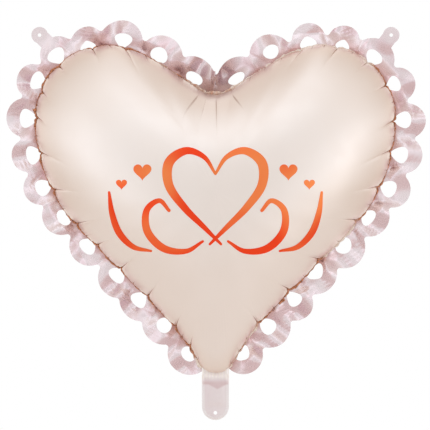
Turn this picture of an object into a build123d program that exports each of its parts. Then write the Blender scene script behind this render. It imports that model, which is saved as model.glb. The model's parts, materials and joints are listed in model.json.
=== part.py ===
"""Heart-shaped foil balloon with a die-cut lace frill, two hanging tabs, a filling tail and its valve."""

from build123d import *

import os
from math import acos, atan2, cos, degrees, hypot, radians, sin

# Frame, in millimetres: +X right, +Z up, and the printed face looks along -Y. The seam lies in the plane
# Y = 0, and the origin is the centre of the balloon's box.

# The gas chamber's edge, right half, from the cleft down to the tip
CLEFT_BOTTOM_Z = 182.5
CLEFT_RADIUS = 41.0
LOBE_CENTRE = (156.0, 149.0)
LOBE_RADIUS = 104.0
SIDE_RADIUS = 234.0
STRAIGHT_ANGLE = -44.6  # the way the straight faces, in degrees above +X
FLANK_RADIUS = 447.0  # hollow arc between the straight and the tip
FLANK_END_ANGLE = -30.5
TIP_RADIUS = 25.0
POINTS_PER_HALF = 34
TANGENT_STEP = 1e-4  # share of a run over which the edge's direction is taken

# The inflated chamber
DOME_HEIGHT = 101.0  # from the seam plane to the top of either face
DOME_CENTRE_Z = 42.0
DOME_FULLNESS = 0.86  # below 1 is fuller than an ellipse
SECTION_ANGLES = (0, 14, 28, 42, 56, 68, 78)
FILM = 0.8
PRINT = 0.4

# The heat-sealed seam and the frill
FLAT = 1.2  # both sheets, laid flat on each other
PLY = 0.3  # one sheet where the valve lies between the two
WELD_IN = 2.5
WELD_OUT = 2.0
HOLE_OFFSET = 12.5
HOLE_RADIUS = 10.0
SCALLOP_RADIUS = 30.0
VALLEY_FILLET = 5.0
# Scallop centres on the right half, as lengths from the cleft along the line of hole centres
SCALLOPS_AT = (31, 95, 151, 203, 251, 300, 355, 408, 458, 512, 567, 622, 674, 727, 780)
TRACK_STEPS = 2000  # divisions of the line of hole centres when lengths are measured along it
CORNER_SCALLOP = 4  # counted from 0: the scallop that carries the hanging tab

# A film bends about a round root edge, this far from the film that it hangs from
BEND_GAP = 0.3

# Hanging tabs, measured outward from the centre of the corner scallop's hole
TAB_BEND = 28.5
TAB_HEAD = 40.5
TAB_HEAD_RADIUS = 12.0
TAB_NECK_WIDTH = 19.0
TAB_DIRECTION = 46.0  # degrees above +X on the right tab
TAB_HOLE_RADIUS = 2.5

# Tail
TAIL_WIDTH = 39.4
TAIL_BEND_Z = -229.0
TAIL_END_Z = -291.0
TAIL_HOLE_Z = -280.5
TAIL_HOLE_RADIUS = 2.7
TAIL_WELD_WIDTH = 3.0

# Self-sealing valve: two films that cling together, from inside the tail to inside the chamber
VALVE_WIDTH = 27.0
VALVE_MOUTH_Z = -268.0
FLAP_BEND_Z = -211.0  # where the valve's two films part, clear of the weld at both sides
VALVE_TOP_Z = -148.0
COATING_WIDTH = 20.0
COATING = 0.1  # the release coating that keeps the seam's heat from closing the valve
FLAP_PLAY = 0.02  # half the gap between the two flaps

# The print, right half: pen strokes as (x, z, half width) along the middle of each
HEART_STROKE = (
    (0, 66, 1.8), (16, 90, 3.4), (42, 99, 5.4), (66, 82, 7.0), (66, 50, 6.4), (44, 18, 5.2), (16, -10, 3.6),
    (-8, -34, 1.8),
)
SWASH = (
    (18, -30, 1.8), (42, -44, 3.6), (74, -40, 5.4), (97, -16, 5.6), (98, 14, 4.6), (80, 28, 3.4), (66, 14, 2.4),
)
PLUME = ((92, -44, 1.6), (118, -38, 3.8), (138, -18, 5.0), (148, 10, 4.2), (152, 40, 1.8))
STROKE_STEPS = 16
SMALL_HEARTS = ((104, 70, 26.0), (134, 52, 16.0))  # x, z and width of each


def arc(centre, radius, start, end):
    """A function from a share of the arc's length to its point, and the arc's length; angles in degrees."""

    def at(share):
        angle = radians(start + (end - start) * share)
        return centre[0] + radius * cos(angle), centre[1] + radius * sin(angle)

    return at, abs(radians(end - start)) * radius


def line(start, end):
    """As arc(), for a straight run."""

    def at(share):
        return start[0] + (end[0] - start[0]) * share, start[1] + (end[1] - start[1]) * share

    return at, hypot(end[0] - start[0], end[1] - start[1])


def heart_runs():
    """The right half of the chamber's edge as tangent runs, from the cleft's middle to the tip's."""
    cleft = (0.0, CLEFT_BOTTOM_Z + CLEFT_RADIUS)
    apart = hypot(LOBE_CENTRE[0], LOBE_CENTRE[1] - cleft[1])
    towards_lobe = degrees(atan2(LOBE_CENTRE[1] - cleft[1], LOBE_CENTRE[0]))
    leave = towards_lobe - degrees(acos((CLEFT_RADIUS + LOBE_RADIUS) / apart))
    at_cleft = arc(cleft, CLEFT_RADIUS, -90, leave)
    at_lobe = arc(LOBE_CENTRE, LOBE_RADIUS, leave + 180, 0)
    at_side = arc((LOBE_CENTRE[0] + LOBE_RADIUS - SIDE_RADIUS, LOBE_CENTRE[1]), SIDE_RADIUS, 0, STRAIGHT_ANGLE)
    start = at_side[0](1)
    cos_out, sin_out = cos(radians(STRAIGHT_ANGLE)), sin(radians(STRAIGHT_ANGLE))
    cos_end, sin_end = cos(radians(FLANK_END_ANGLE)), sin(radians(FLANK_END_ANGLE))
    run = (TIP_RADIUS * cos_end - start[0] - FLANK_RADIUS * (cos_out - cos_end)) / sin_out
    bend = (start[0] + run * sin_out, start[1] - run * cos_out)
    flank = (bend[0] + FLANK_RADIUS * cos_out, bend[1] + FLANK_RADIUS * sin_out)
    at_flank = arc(flank, FLANK_RADIUS, STRAIGHT_ANGLE + 180, FLANK_END_ANGLE + 180)
    tip = (0.0, at_flank[0](1)[1] - TIP_RADIUS * sin_end)
    at_tip = arc(tip, TIP_RADIUS, FLANK_END_ANGLE, -90)
    slope = line(at_cleft[0](1), at_lobe[0](0))
    return [at_cleft, slope, at_lobe, at_side, line(start, bend), at_flank, at_tip]


HEART = heart_runs()
HALF_LENGTH = sum(length for _, length in HEART)

FLAP_MIDDLE = (PLY + FLAP_PLAY) / 2  # how far each valve flap's bend line lies off the seam plane
FLAP_RADIUS = (PLY - FLAP_PLAY) / 2
THROAT_TOP = FLAP_BEND_Z - BEND_GAP - FLAP_RADIUS
THROAT_BOTTOM = TAIL_BEND_Z + FLAT / 2 + BEND_GAP


def edge_point(distance, offset=0.0):
    """The point that far along the right half of the chamber's edge, moved outward by offset."""
    for at, length in HEART[:-1]:
        if distance <= length:
            break
        distance -= length
    else:
        at, length = HEART[-1]
    share = min(distance / length, 1.0)
    x, z = at(share)
    back, ahead = at(share - TANGENT_STEP), at(share + TANGENT_STEP)
    run = hypot(ahead[0] - back[0], ahead[1] - back[1])
    return x - (ahead[1] - back[1]) / run * offset, z + (ahead[0] - back[0]) / run * offset


def edge_points(offset=0.0):
    """Evenly spaced points all round the chamber's edge, moved outward by offset."""
    right = [edge_point(HALF_LENGTH * i / POINTS_PER_HALF, offset) for i in range(POINTS_PER_HALF + 1)]
    left = [(-x, z) for x, z in right[1:-1]]
    return right[::-1] + left


def closed_curve(points, y=0.0):
    """A smooth closed curve through points given as (x, z)."""
    return Wire([Spline([(x, y, z) for x, z in points], periodic=True)])


def heart(offset):
    """The heart, grown by offset, as a face in the seam plane."""
    return Sketch() + Face(closed_curve(edge_points(offset)))


def disc(x, z, radius):
    return Sketch() + Face(Wire([Edge.make_circle(radius, Plane((x, 0, z), z_dir=(0, -1, 0)))]))


def rectangle(x, z, width, height, turn=0.0):
    """A rectangle in the seam plane centred on x, z; turn is in degrees from +X towards +Z."""
    along = (cos(radians(turn)), 0, sin(radians(turn)))
    middle = Plane((x, 0, z), x_dir=along, z_dir=(0, -1, 0))
    return Sketch() + Face(middle * Wire.make_rect(width, height))


def sheet(sketch, low=-FLAT / 2, high=FLAT / 2):
    """A shape in the seam plane thickened from low to high along Y."""
    faces = [face.moved(Location((0, low, 0))) for face in sketch.faces()]
    return Part() + [Solid.extrude(face, Vector(0, high - low, 0)) for face in faces]


def mirrored(shape):
    """The left-hand copy of a right-hand shape."""
    return shape.mirror(Plane.YZ)


# ---------------------------------------------------------------- chamber


def dome(grow=0.0):
    """The solid under the front face, with its edge and its top moved outward by grow."""
    sections = []
    height = DOME_HEIGHT - FLAT / 2 + grow
    for angle in SECTION_ANGLES:
        share = cos(radians(angle)) ** DOME_FULLNESS
        points = [(x * share, DOME_CENTRE_Z + (z - DOME_CENTRE_Z) * share) for x, z in edge_points(grow)]
        rise = height * sin(radians(angle)) / sin(radians(SECTION_ANGLES[-1]))
        sections.append(closed_curve(points, -FLAT / 2 - rise))
    return Part() + Solid.make_loft(sections)


def front_film():
    return dome() - dome(-FILM)


def valve_slot():
    """The flat passage through the weld and the tail's neck that the valve's films fill."""
    height = 2 * TIP_RADIUS
    return sheet(rectangle(0, TAIL_BEND_Z + height / 2, VALVE_WIDTH, height), -PLY, PLY)


def perimeter_weld():
    return sheet(heart(WELD_OUT) - heart(-WELD_IN)) - valve_slot()


# ---------------------------------------------------------------- frill and neck


def scallop_centres():
    """Centres of the right half's punched holes."""
    track = [edge_point(HALF_LENGTH * i / TRACK_STEPS, HOLE_OFFSET) for i in range(TRACK_STEPS + 1)]
    centres, length, wanted = [], 0.0, list(SCALLOPS_AT)
    for (x0, z0), (x1, z1) in zip(track, track[1:]):
        length += hypot(x1 - x0, z1 - z0)
        if wanted and length >= wanted[0]:
            centres.append((x1, z1))
            wanted.pop(0)
    return centres


CENTRES = scallop_centres()


def tab_point(distance, across=0.0):
    """A point on the right tab, by distance from the corner scallop's hole and across the tab."""
    x, z = CENTRES[CORNER_SCALLOP]
    c, s = cos(radians(TAB_DIRECTION)), sin(radians(TAB_DIRECTION))
    return x + distance * c - across * s, z + distance * s + across * c


def tab_seat():
    """What is cut off the corner scallop so that the tab can bend beside it."""
    start = TAB_BEND - FLAT / 2 - BEND_GAP
    return rectangle(*tab_point(start + TAB_HEAD), 2 * TAB_HEAD, 3 * TAB_HEAD_RADIUS, TAB_DIRECTION)


def neck_outline():
    """The strip between the weld and the line that the tail bends about."""
    height = 2 * TIP_RADIUS
    return rectangle(0, THROAT_BOTTOM + height / 2, TAIL_WIDTH, height)


def circles_meet(first, second, radius):
    """The point to the left of the way from first to second that lies that far from both."""
    x, z = second[0] - first[0], second[1] - first[1]
    half = hypot(x, z) / 2
    rise = (radius**2 - half**2) ** 0.5 / (2 * half)
    return first[0] + x / 2 - z * rise, first[1] + z / 2 + x * rise


def towards(start, end, distance):
    """The point that far from start on the way to end, in the seam plane."""
    share = distance / hypot(end[0] - start[0], end[1] - start[1])
    return Vector(start[0] + (end[0] - start[0]) * share, 0, start[1] + (end[1] - start[1]) * share)


def frill_outline():
    """The right half of the frill's outside as scallops with filleted valleys, closed along the middle."""
    apart = SCALLOP_RADIUS + VALLEY_FILLET
    x, z = CENTRES[0]
    valley = (0.0, z + (apart**2 - x**2) ** 0.5)
    root = (TAIL_WIDTH / 2, THROAT_BOTTOM)
    low = Vector(0, 0, valley[1] - VALLEY_FILLET)
    beside, end = (towards(valley, target, VALLEY_FILLET) for target in ((x / 2, z), CENTRES[0]))
    edges = [ThreePointArc(low, beside, end)]
    for centre, following in zip(CENTRES, CENTRES[1:] + [None]):
        start = edges[-1] @ 1
        if following is None:
            reach = hypot(root[0] - centre[0], root[1] - centre[1])
            turn = atan2(root[1] - centre[1], root[0] - centre[0]) + acos(SCALLOP_RADIUS / reach)
            end = Vector(centre[0] + SCALLOP_RADIUS * cos(turn), 0, centre[1] + SCALLOP_RADIUS * sin(turn))
        else:
            valley = circles_meet(centre, following, apart)
            end = towards(centre, valley, SCALLOP_RADIUS)
        outward = (start + end) * 0.5 - Vector(centre[0], 0, centre[1])
        top = Vector(centre[0], 0, centre[1]) + outward.normalized() * SCALLOP_RADIUS
        edges.append(ThreePointArc(start, top, end))
        if following is not None:
            middle = ((centre[0] + following[0]) / 2, (centre[1] + following[1]) / 2)
            low = towards(valley, middle, VALLEY_FILLET)
            edges.append(ThreePointArc(end, low, towards(valley, following, VALLEY_FILLET)))
    corner, foot = Vector(root[0], 0, root[1]), Vector(0, 0, root[1])
    edges += [Line(edges[-1] @ 1, corner), Line(corner, foot), Line(foot, edges[0] @ 0)]
    return Sketch() + Face(Wire(edges))


def frill_right():
    """The right half of the frill, out from the weld, with its punched holes."""
    shape = frill_outline() - heart(WELD_OUT) - neck_outline() - tab_seat()
    return sheet(shape - [disc(x, z, HOLE_RADIUS) for x, z in CENTRES])


def tail_neck():
    return sheet(neck_outline() - heart(WELD_OUT)) - valve_slot()


# ---------------------------------------------------------------- hanging tab


def hang_tab_right():
    """The right tab, from the round edge that it bends about to its rounded head."""
    neck_length = TAB_HEAD - TAB_BEND
    neck = rectangle(*tab_point(TAB_BEND + neck_length / 2), neck_length, TAB_NECK_WIDTH, TAB_DIRECTION)
    beyond = rectangle(*tab_point(TAB_BEND + TAB_HEAD), 2 * TAB_HEAD, 4 * TAB_HEAD_RADIUS, TAB_DIRECTION)
    head = disc(*tab_point(TAB_HEAD), TAB_HEAD_RADIUS)
    outline = (neck + head) & beyond
    across = (-sin(radians(TAB_DIRECTION)), 0, cos(radians(TAB_DIRECTION)))
    foot = tab_point(TAB_BEND, -TAB_NECK_WIDTH / 2)
    root = Solid.make_cylinder(FLAT / 2, TAB_NECK_WIDTH, Plane((foot[0], 0, foot[1]), z_dir=across))
    return sheet(outline - disc(*tab_point(TAB_HEAD), TAB_HOLE_RADIUS)) + root


# ---------------------------------------------------------------- tail


def tail_outline():
    radius = TAIL_WIDTH / 2
    straight = rectangle(0, (TAIL_END_Z + radius) / 2, TAIL_WIDTH, -(TAIL_END_Z + radius))
    return straight + disc(0, TAIL_END_Z + radius, radius)


def below_bend(part):
    """What of a tail part lies past the bend line, with a round root edge on that line."""
    depth = -TAIL_END_Z
    lower = Solid.make_box(
        2 * TAIL_WIDTH, 2 * FLAT, depth, Plane((-TAIL_WIDTH, -FLAT, TAIL_BEND_Z - depth))
    )
    axis = Plane((-TAIL_WIDTH, 0, TAIL_BEND_Z), z_dir=(1, 0, 0))
    return part & (Part() + lower + Solid.make_cylinder(FLAT / 2, 2 * TAIL_WIDTH, axis))


def tail_hole():
    return sheet(disc(0, TAIL_HOLE_Z, TAIL_HOLE_RADIUS), -FLAT, FLAT)


def tail_front_film():
    return below_bend(sheet(tail_outline(), -FLAT / 2, -PLY)) - tail_hole()


def tail_back_film():
    return below_bend(sheet(tail_outline(), PLY, FLAT / 2)) - tail_hole()


def tail_edge_weld():
    """The weld along both sides and round the end, between the two films."""
    inner_radius = TAIL_WIDTH / 2 - TAIL_WELD_WIDTH
    end = TAIL_END_Z + TAIL_WIDTH / 2
    inside = rectangle(0, end / 2, 2 * inner_radius, -end) + disc(0, end, inner_radius)
    return below_bend(sheet(tail_outline() - inside, -PLY, PLY)) - tail_hole()


def valve_strip(top, bottom, low, high, width=VALVE_WIDTH):
    return sheet(rectangle(0, (top + bottom) / 2, width, top - bottom), low, high)


def valve_mouth():
    """The valve's two films inside the tail."""
    front = below_bend(valve_strip(TAIL_BEND_Z + FLAT, VALVE_MOUTH_Z, -PLY, 0))
    back = below_bend(valve_strip(TAIL_BEND_Z + FLAT, VALVE_MOUTH_Z, 0, PLY))
    return Compound(children=[front.solid(), back.solid()])


# ---------------------------------------------------------------- valve inside the neck and the chamber


def valve_throat():
    """The valve's two films where they pass the weld, parted by the coating."""
    front = valve_strip(THROAT_TOP, THROAT_BOTTOM, -PLY, -COATING / 2)
    back = valve_strip(THROAT_TOP, THROAT_BOTTOM, COATING / 2, PLY)
    return Compound(children=[front.solid(), back.solid()])


def valve_coating():
    return valve_strip(THROAT_TOP, THROAT_BOTTOM, -COATING / 2, COATING / 2, COATING_WIDTH)


def valve_flap(side):
    """One film of the valve inside the chamber: side is -1 for the front one and 1 for the back one."""
    low, high = sorted((side * FLAP_PLAY, side * PLY))
    root = Plane((-VALVE_WIDTH / 2, side * FLAP_MIDDLE, FLAP_BEND_Z), z_dir=(1, 0, 0))
    return valve_strip(VALVE_TOP_Z, FLAP_BEND_Z, low, high) + Solid.make_cylinder(FLAP_RADIUS, VALVE_WIDTH, root)


# ---------------------------------------------------------------- print


def stroke(points):
    """A pen stroke in the seam plane: a smooth line through the points, as wide as they say."""
    middle = Spline([(x, 0, z) for x, z, _ in points])
    last = len(points) - 1
    sides = ([], [])
    for i in range(STROKE_STEPS + 1):
        share = i / STROKE_STEPS
        k = min(int(share * last), last - 1)
        half = points[k][2] + (points[k + 1][2] - points[k][2]) * (share * last - k)
        along = middle.tangent_at(share)
        across = Vector(-along.Z, 0, along.X) * half
        sides[0].append(middle.position_at(share) + across)
        sides[1].append(middle.position_at(share) - across)
    left, right = (Spline(side) for side in sides)
    start = middle.position_at(0) - middle.tangent_at(0) * points[0][2]
    end = middle.position_at(1) + middle.tangent_at(1) * points[last][2]
    caps = [ThreePointArc(left @ 0, start, right @ 0), ThreePointArc(left @ 1, end, right @ 1)]
    return Sketch() + Face(Wire([left, right, *caps]))


def small_heart(x, z, width):
    """A solid heart: two discs and a turned square."""
    radius = width / (2 + 2**0.5)
    side = 2 * radius
    lift = side / 2**0.5 / 2
    square = rectangle(x, z, side, side, 45)
    return square + disc(x - lift, z + lift, radius) + disc(x + lift, z + lift, radius)


def printed(*sketches):
    """Shapes laid on the front film as one thin layer."""
    column = Part()
    for sketch in sketches:
        column += sheet(sketch, -2 * DOME_HEIGHT, -FLAT)
    return (dome(PRINT) - dome()) & column


def main():
    os.makedirs("parts", exist_ok=True)
    front = front_film()
    halves = {
        "frill": frill_right(),
        "hang_tab": hang_tab_right(),
        "print_swash": printed(stroke(SWASH)),
        "print_plume": printed(stroke(PLUME)),
        "print_small_hearts": printed(*(small_heart(*place) for place in SMALL_HEARTS)),
    }
    right_arm = stroke(HEART_STROKE)
    nodes = {
        "front_film": front,
        "back_film": front.mirror(Plane.XZ),
        "perimeter_weld": perimeter_weld(),
        "tail_neck": tail_neck(),
        "tail_front_film": tail_front_film(),
        "tail_back_film": tail_back_film(),
        "tail_edge_weld": tail_edge_weld(),
        "valve_mouth": valve_mouth(),
        "valve_throat": valve_throat(),
        "valve_coating": valve_coating(),
        "valve_front_flap": valve_flap(-1),
        "valve_back_flap": valve_flap(1),
        "print_heart": printed(right_arm, mirrored(right_arm)),
    }
    for name, shape in halves.items():
        nodes[f"{name}_right"] = shape
        nodes[f"{name}_left"] = mirrored(shape)
    for name, shape in nodes.items():
        export_step(shape, f"parts/{name}.step")
    box = Compound(children=[solid for shape in nodes.values() for solid in shape.solids()]).bounding_box()
    print("size", box.size, "centre", box.center())
    print("tab hole", tab_point(TAB_HEAD), "tab bend", tab_point(TAB_BEND), "flap bend", FLAP_BEND_Z)


main()
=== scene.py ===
"""The looks of the heart-shaped foil balloon.

Two inflated pearl sheets, a crinkled seam, a ruffled lace frill with hanging tabs, a filling tail with its
valve, and a printed heart scroll.
"""

import json
from collections import Counter
from math import acos, atan2, cos, degrees, hypot, pi, radians, sin

import bpy
import numpy as np
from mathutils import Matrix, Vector
from mathutils.bvhtree import BVHTree
from mathutils.geometry import delaunay_2d_cdt

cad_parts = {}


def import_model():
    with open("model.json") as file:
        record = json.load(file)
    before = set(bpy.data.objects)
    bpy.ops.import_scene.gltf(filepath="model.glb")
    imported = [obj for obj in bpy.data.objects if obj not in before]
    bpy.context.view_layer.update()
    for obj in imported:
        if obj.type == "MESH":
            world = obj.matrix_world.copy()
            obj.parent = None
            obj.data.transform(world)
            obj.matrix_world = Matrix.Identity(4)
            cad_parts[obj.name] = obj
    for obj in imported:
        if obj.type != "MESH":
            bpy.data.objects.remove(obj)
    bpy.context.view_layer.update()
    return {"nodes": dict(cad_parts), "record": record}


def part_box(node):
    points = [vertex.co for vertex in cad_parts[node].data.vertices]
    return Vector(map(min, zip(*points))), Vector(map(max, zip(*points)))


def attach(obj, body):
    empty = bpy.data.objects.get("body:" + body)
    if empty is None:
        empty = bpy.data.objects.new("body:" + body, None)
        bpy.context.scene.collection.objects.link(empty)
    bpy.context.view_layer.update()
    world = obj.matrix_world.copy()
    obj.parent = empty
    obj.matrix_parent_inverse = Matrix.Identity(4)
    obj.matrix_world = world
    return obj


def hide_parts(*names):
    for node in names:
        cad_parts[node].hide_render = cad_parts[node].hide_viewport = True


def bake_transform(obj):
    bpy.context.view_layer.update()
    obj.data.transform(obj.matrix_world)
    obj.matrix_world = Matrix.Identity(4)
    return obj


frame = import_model()
MM = 0.001


# Shapes below are worked out in millimetres and turned into metres when a mesh is made. +X is right, +Z is
# up, the print looks along -Y, and the seam lies in the plane Y = 0.


def box(node):
    """A node's box in millimetres."""
    return [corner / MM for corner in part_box(node)]


FILM_LOW, FILM_HIGH = box("front_film")
FILM_DEPTH = -FILM_LOW.y
TAIL_LOW, TAIL_HIGH = box("tail_front_film")

# ---------------------------------------------------------------- the heart's edge

LOBE_RADIUS = 104.0
LOBE_CENTRE = (FILM_HIGH.x - LOBE_RADIUS, FILM_HIGH.z - LOBE_RADIUS)
CLEFT_BOTTOM_Z = 182.5
CLEFT_RADIUS = 41.0
SIDE_RADIUS = 234.0
STRAIGHT_ANGLE = -44.6  # the way the straight faces, in degrees above +X
FLANK_RADIUS = 447.0  # hollow arc between the straight and the tip
FLANK_END_ANGLE = -30.5
TIP_RADIUS = 25.0
EDGE_STEP = 0.5


def arc_points(centre, radius, start, end, step=EDGE_STEP):
    """Points along an arc, a step apart, leaving the last one out; angles in degrees."""
    count = max(int(abs(radians(end - start)) * radius / step), 3)
    angles = np.radians(np.linspace(start, end, count + 1)[:-1])
    return np.column_stack((centre[0] + radius * np.cos(angles), centre[1] + radius * np.sin(angles)))


def line_points(start, end, step=EDGE_STEP):
    """Points along a straight, a step apart, leaving the last one out."""
    count = max(int(hypot(end[0] - start[0], end[1] - start[1]) / step), 2)
    return np.array(start) + np.linspace(0, 1, count + 1)[:-1, None] * (np.array(end) - np.array(start))


def half_edge():
    """The right half of the gas chamber's edge, from the cleft to the tip."""
    cleft = (0.0, CLEFT_BOTTOM_Z + CLEFT_RADIUS)
    apart = hypot(LOBE_CENTRE[0], LOBE_CENTRE[1] - cleft[1])
    to_lobe = degrees(atan2(LOBE_CENTRE[1] - cleft[1], LOBE_CENTRE[0]))
    leave = to_lobe - degrees(acos((CLEFT_RADIUS + LOBE_RADIUS) / apart))
    side = (LOBE_CENTRE[0] + LOBE_RADIUS - SIDE_RADIUS, LOBE_CENTRE[1])
    cos_out, sin_out = cos(radians(STRAIGHT_ANGLE)), sin(radians(STRAIGHT_ANGLE))
    cos_end, sin_end = cos(radians(FLANK_END_ANGLE)), sin(radians(FLANK_END_ANGLE))
    start = (side[0] + SIDE_RADIUS * cos_out, side[1] + SIDE_RADIUS * sin_out)
    run = (TIP_RADIUS * cos_end - start[0] - FLANK_RADIUS * (cos_out - cos_end)) / sin_out
    bend = (start[0] + run * sin_out, start[1] - run * cos_out)
    flank = (bend[0] + FLANK_RADIUS * cos_out, bend[1] + FLANK_RADIUS * sin_out)
    tip = (0.0, flank[1] - (FLANK_RADIUS + TIP_RADIUS) * sin_end)
    lobe = arc_points(LOBE_CENTRE, LOBE_RADIUS, leave + 180, 0)
    at_cleft = arc_points(cleft, CLEFT_RADIUS, -90, leave)
    runs = [
        at_cleft,
        line_points(at_cleft[-1], lobe[0])[1:],
        lobe,
        arc_points(side, SIDE_RADIUS, 0, STRAIGHT_ANGLE),
        line_points(start, bend),
        arc_points(flank, FLANK_RADIUS, STRAIGHT_ANGLE + 180, FLANK_END_ANGLE + 180),
        arc_points(tip, TIP_RADIUS, FLANK_END_ANGLE, -90),
        [(0.0, tip[1] - TIP_RADIUS)],
    ]
    return np.vstack(runs)


def closed_edge():
    """The whole edge, clockwise from the cleft: lengths along it, points and outward normals."""
    right = half_edge()
    left = right[-2:0:-1] * (-1, 1)
    ring = np.vstack((right, left, right[:1]))
    along = np.concatenate(([0], np.cumsum(np.hypot(*np.diff(ring, axis=0).T))))
    tangent = np.roll(ring[:-1], -1, 0) - np.roll(ring[:-1], 1, 0)
    tangent /= np.hypot(*tangent.T)[:, None]
    normal = np.column_stack((-tangent[:, 1], tangent[:, 0]))
    return along, ring, np.vstack((normal, normal[:1]))


ALONG, RING, NORMALS = closed_edge()
AROUND = ALONG[-1]
HALF = AROUND / 2


def wrap(length):
    """A length along the edge as the shortest signed way."""
    return (length + HALF) % AROUND - HALF


def edge(along, out=0.0):
    """Points at lengths along the edge (negative on the left side) and distances outside it."""
    place = np.mod(along, AROUND)
    columns = [np.interp(place, ALONG, RING[:, i]) for i in (0, 1)]
    normal = np.stack([np.interp(place, ALONG, NORMALS[:, i]) for i in (0, 1)], -1)
    normal /= np.linalg.norm(normal, axis=-1, keepdims=True)
    return np.stack(columns, -1) + normal * np.asarray(out)[..., None]


# ---------------------------------------------------------------- what the film does along the seam

# Puckers of the inflated sheets: length along the edge (negative on the left), reach inward, depth and lean
PUCKERS = (
    (1, 72, 1.1, 0.02), (24, 44, 1.1, 1), (58, 6, 0.9, 0.1), (84, 5, 0.7, -0.1), (112, 5, 0.8, 0),
    (141, 13, 1.9, -0.3), (160, 6, 1.1, -0.1), (177, 4, 0.8, 0), (195, 24, 2.2, 0.1), (219, 5, 0.8, 0),
    (244, 13, 1.8, 0), (266, 4, 0.8, 0.1), (288, 18, 2.2, -0.1), (314, 5, 0.9, 0), (342, 21, 2.3, 0.2),
    (364, 4, 0.8, 0), (386, 24, 2.3, 0.3), (414, 5, 0.8, 0), (442, 21, 2.4, 0.2), (470, 4, 0.8, 0.1),
    (500, 24, 2.4, 0.2), (540, 5, 0.8, 0.1), (579, 20, 2.4, 0.4), (611, 5, 0.8, 0.2), (641, 24, 2.5, 0.5),
    (675, 5, 0.9, 0.2), (707, 22, 2.4, 0.5), (735, 5, 1, 0.2), (757, 6, 1.1, 0.2), (778, 5, 1, 0.1),
    (-12, 66, 0.9, -0.5), (-24, 66, 1.1, -1), (-62, 5, 0.8, 0.1), (-88, 5, 0.9, 0), (-117, 7, 1.2, 0),
    (-132, 4, 0.8, 0), (-148, 21, 2.1, -0.15), (-172, 5, 0.8, 0), (-197, 21, 2, -0.35), (-226, 5, 1, 0),
    (-253, 12, 1.9, -0.2), (-276, 4, 0.8, 0), (-299, 15, 2.1, -0.4), (-319, 4, 0.8, 0), (-337, 13, 2, -0.4),
    (-363, 5, 0.9, 0), (-389, 20, 2.2, -0.3), (-417, 5, 0.9, 0), (-446, 19, 2.3, -0.1), (-476, 5, 0.9, 0),
    (-506, 21, 2.3, 0), (-528, 5, 0.8, 0), (-549, 14, 2.1, 0), (-573, 5, 0.8, 0), (-597, 21, 2.4, 0),
    (-625, 5, 0.9, 0), (-653, 20, 2.3, -0.1), (-682, 5, 0.9, -0.1), (-713, 17, 2.2, -0.2), (-731, 5, 1, 0),
    (-748, 15, 1.9, -0.3), (-772, 5, 1, 0),
)
CREASE_WIDTH = 0.8
CREASE_NARROWS = 0.006  # share of its width that a crease's painted shade loses in each millimetre inward
CREASE_SPREAD = 0.05  # how much wider its dip gets in each millimetre inward
CREASE_DEPTH = 1.6
CREASE_AT_WELD = 0.15  # shares of that depth close to the weld and along the crease
CREASE_INWARD = 0.4
CREASE_NARROWEST = 0.2
LEAN_DIVISOR = 5.0  # a crease has leaned by its lean times inward**1.5 over this
LEAN_WIDENS = 0.25  # keeps a leaning crease as wide across as an upright one
LONG_PUCKER = 12  # puckers reaching in at least this far also notch the seam
CLEFT_PUCKER = 40  # those of the cleft reach at least this far, and start a little way in
CLEFT_START = 8.0
CLEFT_WIDER = 1.5
CLEFT_INWARD = 0.25
CLEFT_STRENGTH = 0.8
NOTCH_DEPTH = 1.1
NOTCH_WIDTH = 3.4
NOTCH_REACH = 5.0
BULGE = 2.0
BULGE_GAP = 45.0  # distance between puckers at which a bulge has its full height
BULGE_REACH = 11.0
TOOTH_DEPTH = 0.3
TOOTH_REACH = 3.0
TOOTH_SEED = 1

# How much coppery brown painted shade the seam carries and how wide it is, by length along the edge (negative
# on the left)
SEAM_LOOK = (
    (-795, 0.1, 4.4), (-780, 0.15, 4.2), (-765, 0.6, 3.2), (-735, 0.8, 2.2), (-700, 0.8, 2),
    (-660, 0.9, 2.8), (-640, 0.85, 2), (-600, 0.85, 2.4), (-570, 0.9, 3.2), (-540, 0.85, 1.8),
    (-505, 0.85, 3.2), (-480, 0.85, 2), (-450, 0.9, 3), (-420, 0.9, 2.2), (-390, 0.95, 3.4),
    (-365, 0.9, 2.4), (-325, 0.95, 4.8), (-305, 0.9, 2.6), (-270, 0.95, 3.6), (-240, 0.95, 2),
    (-200, 0.9, 1.7), (-160, 0.9, 1.9), (-120, 0.8, 2.2), (-90, 0.5, 3.2), (-60, 0.65, 2.8),
    (-30, 0.5, 3.6), (0, 0.5, 3.8), (24, 0.48, 3.2), (40, 0.15, 2.2), (70, 0.1, 2.8), (110, 0.08, 3.2),
    (150, 0.2, 2.2), (200, 0.2, 2.4), (240, 0.15, 2.8), (262, 0.9, 2.8), (300, 0.9, 2.4), (340, 0.95, 3),
    (390, 0.95, 2.4), (440, 0.95, 2.6), (490, 0.9, 2.2), (515, 0.15, 3.6), (560, 0.1, 3.8),
    (580, 0.85, 2.4), (620, 0.9, 3.4), (660, 0.9, 3.8), (700, 0.85, 2.6), (722, 0.15, 3), (745, 0.6, 2.4),
    (770, 0.5, 3.4), (785, 0.15, 4.2), (795, 0.1, 4.4),
)


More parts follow.
